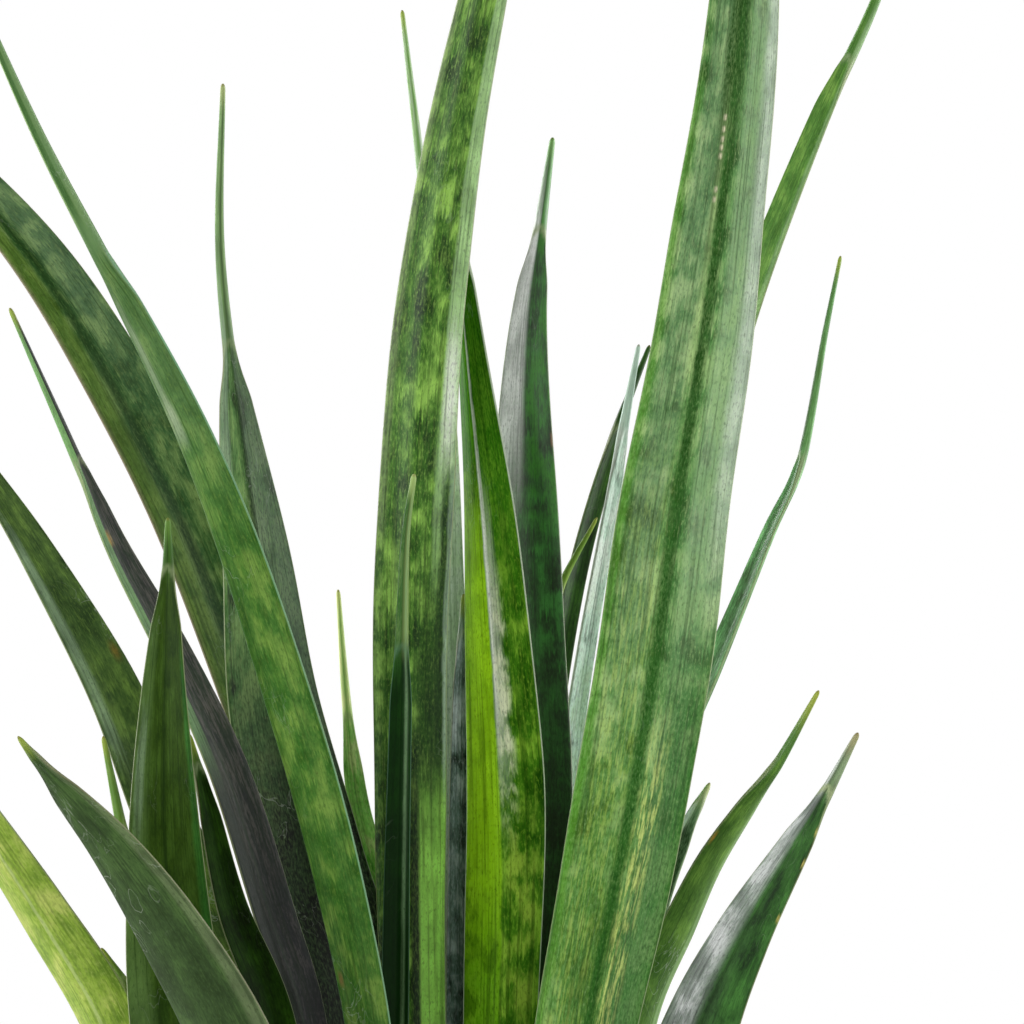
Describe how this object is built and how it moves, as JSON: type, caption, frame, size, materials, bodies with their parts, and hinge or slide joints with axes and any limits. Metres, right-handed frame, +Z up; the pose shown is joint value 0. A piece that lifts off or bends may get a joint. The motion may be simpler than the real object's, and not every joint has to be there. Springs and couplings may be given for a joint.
{
  "type": "potted star sansevieria",
  "caption": "Star sansevieria in a plain earthenware pot: stiff, channelled and mottled green leaves that end in solid round points, standing in potting soil",
  "frame": {"origin": "centre of the pot's flat underside", "axes": "+Z up, +X to the plant's right and -Y to its front"},
  "size_m": [0.3553, 0.2483, 0.705],
  "materials": {
    "earthenware": "matte",
    "potting_soil": "matte",
    "perlite": "matte",
    "rhizome_skin": "matte",
    "mottled_leaf": "satin",
    "dark_leaf": "satin",
    "sage_leaf": "satin",
    "lime_leaf": "satin"
  },
  "bodies": {
    "root": {"pot": "earthenware", "soil": "potting_soil", "rhizome": "rhizome_skin", "leaf_01_tall_left": "mottled_leaf", "leaf_02_broad_left": "dark_leaf", "leaf_03_needle_left": "mottled_leaf", "leaf_04_purple_channel": "dark_leaf", "leaf_05_outer_left": "dark_leaf", "leaf_06_short_front_left": "dark_leaf", "leaf_07_low_front_left": "sage_leaf", "leaf_08_young_left": "lime_leaf", "leaf_09_lime_left": "lime_leaf", "leaf_10_sprout_left": "lime_leaf", "leaf_12_low_left": "mottled_leaf", "leaf_11_young_centre": "lime_leaf", "leaf_13_tall_centre": "mottled_leaf", "leaf_14_slim_front": "dark_leaf", "leaf_15_grey_centre": "dark_leaf", "leaf_16_keeled_centre": "mottled_leaf", "leaf_17_tall_back_centre": "mottled_leaf", "leaf_18_banded_centre": "mottled_leaf", "leaf_19_dark_back_right": "dark_leaf", "leaf_20_small_back_right": "lime_leaf", "leaf_21_sage_back_right": "sage_leaf", "leaf_22_broad_right": "mottled_leaf", "leaf_23_upper_right": "sage_leaf", "leaf_24_needle_right": "sage_leaf", "leaf_25_outer_right": "sage_leaf", "leaf_26_low_front_right": "mottled_leaf", "leaf_27_young_right": "sage_leaf", "leaf_28_back_right": "mottled_leaf", "leaf_29_back_centre": "mottled_leaf", "leaf_30_back_left": "mottled_leaf", "leaf_31_back_middle_right": "mottled_leaf", "leaf_32_back_outer_left": "mottled_leaf", "leaf_33_back_outer_right": "mottled_leaf", "leaf_34_back_tall_left": "mottled_leaf", "leaf_35_short_front": "mottled_leaf", "leaf_36_short_front_right": "mottled_leaf", "leaf_37_short_back": "mottled_leaf", "leaf_38_short_back_left": "mottled_leaf", "leaf_39_short_back_right": "mottled_leaf", "leaf_40_short_right": "mottled_leaf"}
  },
  "joints": []
}
